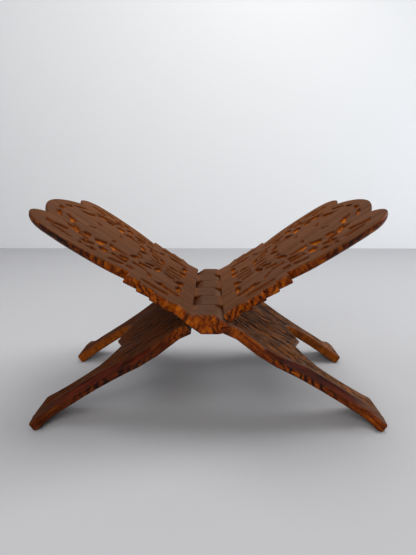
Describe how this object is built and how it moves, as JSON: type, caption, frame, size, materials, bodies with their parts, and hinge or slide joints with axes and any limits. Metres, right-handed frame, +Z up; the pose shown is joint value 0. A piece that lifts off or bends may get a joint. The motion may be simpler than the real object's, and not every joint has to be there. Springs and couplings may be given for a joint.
{
  "type": "folding book stand",
  "caption": "Folding X-shaped wooden stand whose carved boards interlock at the middle and open into a cradle for a book or album.",
  "frame": {"origin": "middle of the footprint, on the table under the hinge line", "axes": "+X across the stand towards the right leaf, +Y along the hinge from front to back, +Z up"},
  "size_m": [0.2652, 0.158, 0.1649],
  "materials": {
    "rosewood": "waxed, hand carved"
  },
  "bodies": {
    "board_a": {"board_a": "rosewood"},
    "board_b": {"board_b": "rosewood"}
  },
  "joints": [
    {"name": "fold_hinge", "type": "hinge", "parent": "board_a", "child": "board_b", "pos_m": [0, 0, 0.08206], "axis": [0, -1, 0], "range_deg": [0, 114]}
  ]
}
